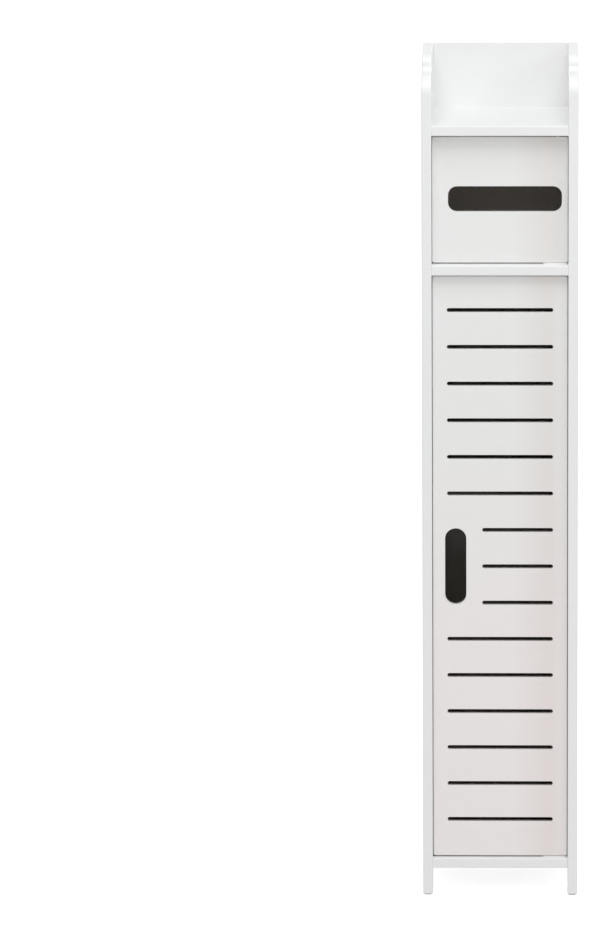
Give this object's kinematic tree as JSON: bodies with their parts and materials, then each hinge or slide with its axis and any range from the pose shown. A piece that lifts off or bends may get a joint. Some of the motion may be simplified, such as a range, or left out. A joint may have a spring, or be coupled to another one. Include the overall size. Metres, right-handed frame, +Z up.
{
  "type": "bathroom cabinet",
  "caption": "Slim tall freestanding bathroom cabinet: open tray on top, tissue compartment behind a small slotted door, and a shelved cupboard behind a tall louvred door with a finger hole.",
  "frame": {"origin": "on the floor, under the middle of the cabinet's width and depth", "axes": "+Z up; the doors face -Y; +X is the hinge side, on the right seen from the front"},
  "size_m": [0.22, 0.2, 1.2],
  "materials": {
    "white_board": "white satin coating on wood-plastic board",
    "door_board": "white satin coating on thinner wood-plastic board",
    "white_plastic": "moulded white plastic",
    "zinc_steel": "bright zinc plating",
    "coated_steel": "white powder coat on steel",
    "ferrite": "dull black sintered ferrite",
    "beech_dowel": "plain fluted beech"
  },
  "bodies": {
    "cabinet": {"side_panel_left": "white_board", "side_panel_right": "white_board", "tray_shelf": "white_board", "divider_shelf": "white_board", "inner_shelf_upper": "white_board", "inner_shelf_lower": "white_board", "bottom_shelf": "white_board", "back_panel": "white_board", "screw_caps_left": "white_plastic", "screw_caps_right": "white_plastic", "foot_pads": "white_plastic", "door_catch_housing": "white_plastic", "tissue_catch_housing": "white_plastic", "shelf_screws_left": "zinc_steel", "shelf_screws_right": "zinc_steel", "back_panel_screws": "zinc_steel", "foot_nails": "zinc_steel", "door_catch_poles": "zinc_steel", "tissue_catch_poles": "zinc_steel", "pivot_plate_screws": "zinc_steel", "catch_screws": "zinc_steel", "door_pivot_plate_lower": "coated_steel", "door_pivot_plate_upper": "coated_steel", "tissue_pivot_plate_lower": "coated_steel", "tissue_pivot_plate_upper": "coated_steel", "door_catch_magnet": "ferrite", "tissue_catch_magnet": "ferrite", "shelf_dowels_left": "beech_dowel", "shelf_dowels_right": "beech_dowel"},
    "cupboard_door": {"cupboard_door": "door_board", "door_pivot_bushes": "white_plastic", "door_strike_plate": "zinc_steel", "door_strike_screw": "zinc_steel"},
    "tissue_door": {"tissue_door": "door_board", "tissue_pivot_bushes": "white_plastic", "tissue_strike_plate": "zinc_steel", "tissue_strike_screw": "zinc_steel"}
  },
  "joints": [
    {"name": "cupboard_door_hinge", "type": "hinge", "parent": "cabinet", "child": "cupboard_door", "pos_m": [0.08122, -0.083, 0.4755], "axis": [0, 0, 1], "range_deg": [0, 110]},
    {"name": "tissue_door_hinge", "type": "hinge", "parent": "cabinet", "child": "tissue_door", "pos_m": [0.08135, -0.0755, 1.003], "axis": [0, 0, 1], "range_deg": [0, 100]}
  ]
}
